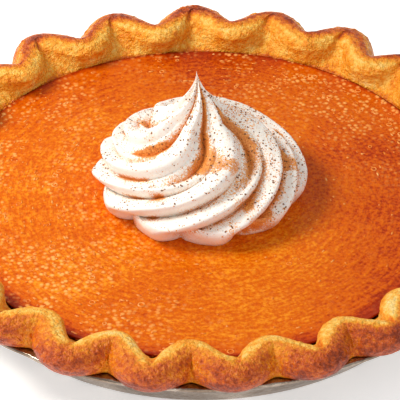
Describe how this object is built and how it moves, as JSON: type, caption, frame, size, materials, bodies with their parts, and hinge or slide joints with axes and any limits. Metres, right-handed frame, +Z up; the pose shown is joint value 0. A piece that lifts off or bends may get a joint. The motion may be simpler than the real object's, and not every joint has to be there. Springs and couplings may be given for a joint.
{
  "type": "pumpkin pie",
  "caption": "Whole round pumpkin pie in a shallow foil tin, with a crimped pastry rim, a glossy set filling and a piped swirl of whipped cream in the middle.",
  "frame": {"origin": "centre of the tin's flat base, on the surface that the pie stands on", "axes": "+Z up along the pie's axis, -Y towards the front, +X to the right"},
  "size_m": [0.2474, 0.2482, 0.0753],
  "materials": {
    "foil": "satin",
    "pastry": "baked golden brown, satin where it was glazed",
    "pumpkin_custard": "glossy, faintly bumpy",
    "cream": "soft satin, dusted with cinnamon"
  },
  "bodies": {
    "root": {"pie_tin": "foil", "pie_crust": "pastry", "pumpkin_filling": "pumpkin_custard", "whipped_cream": "cream"}
  },
  "joints": []
}
